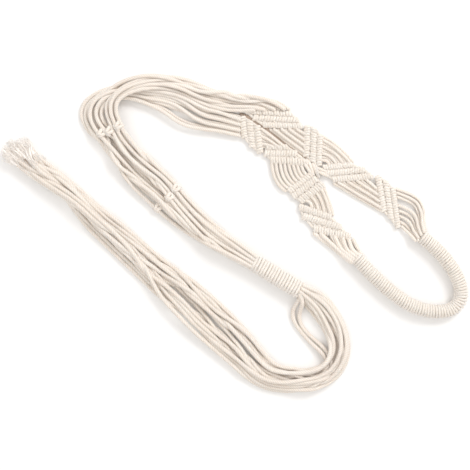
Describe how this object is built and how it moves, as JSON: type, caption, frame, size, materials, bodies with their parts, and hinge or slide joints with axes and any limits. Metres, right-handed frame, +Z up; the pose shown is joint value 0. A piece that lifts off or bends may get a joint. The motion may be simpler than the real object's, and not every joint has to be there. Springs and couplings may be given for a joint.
{
  "type": "hanging macrame planter",
  "caption": "Knotted cotton plant hanger laid flat: wrapped hanging loop, two straps of diagonal half-hitch bands, loose cord cradle, gathering wrap and long tassel.",
  "frame": {"origin": "bottom centre of the piece's box as it lies flat on a surface", "axes": "+Z up from the surface, +X from the tassel's end towards the hanging loop, +Y across, towards the cradle's bend"},
  "size_m": [0.3904, 0.2671, 0.0136],
  "materials": {
    "cotton": "matte twisted cotton"
  },
  "bodies": {
    "planter": {"upper_band_1": "cotton", "upper_band_2": "cotton", "upper_band_3": "cotton", "upper_band_4": "cotton", "lower_band_1": "cotton", "lower_band_2": "cotton", "lower_band_3": "cotton", "lower_band_4": "cotton", "upper_gap_2": "cotton", "upper_gap_3": "cotton", "upper_gap_4": "cotton", "lower_gap_2": "cotton", "lower_gap_3": "cotton", "lower_gap_4": "cotton", "strap_join": "cotton", "upper_fan_strap_side": "cotton", "lower_fan_strap_side": "cotton", "cradle_cord_01": "cotton", "cradle_cord_02": "cotton", "cradle_cord_03": "cotton", "cradle_cord_04": "cotton", "cradle_cord_05": "cotton", "cradle_cord_06": "cotton", "cradle_cord_07": "cotton", "cradle_cord_08": "cotton", "cradle_cord_09": "cotton", "cradle_cord_10": "cotton", "cradle_cord_11": "cotton", "cradle_cord_12": "cotton", "cradle_cord_13": "cotton", "cradle_cord_14": "cotton", "cradle_cord_15": "cotton", "cradle_cord_16": "cotton", "square_knots_upper": "cotton", "square_knots_lower": "cotton", "gathering_wrap": "cotton", "gathered_cords": "cotton", "tassel_cord_01": "cotton", "tassel_cord_02": "cotton", "tassel_cord_03": "cotton", "tassel_cord_04": "cotton", "tassel_cord_05": "cotton", "tassel_cord_06": "cotton", "tassel_cord_07": "cotton", "tassel_cord_08": "cotton", "tassel_cord_09": "cotton", "tassel_cord_10": "cotton", "tassel_cord_11": "cotton", "tassel_cord_12": "cotton", "tassel_cord_13": "cotton", "tassel_cord_14": "cotton", "tassel_cord_15": "cotton", "tassel_cord_16": "cotton"},
    "hanging_loop": {"loop_core": "cotton", "loop_wrap": "cotton", "upper_fan_loop_side": "cotton", "lower_fan_loop_side": "cotton"}
  },
  "joints": [
    {"name": "loop_fold", "type": "hinge", "parent": "planter", "child": "hanging_loop", "pos_m": [0.09288, -0.01425, 0.005], "axis": [-0.9418, -0.3362, 0], "range_deg": [0, 90]}
  ]
}
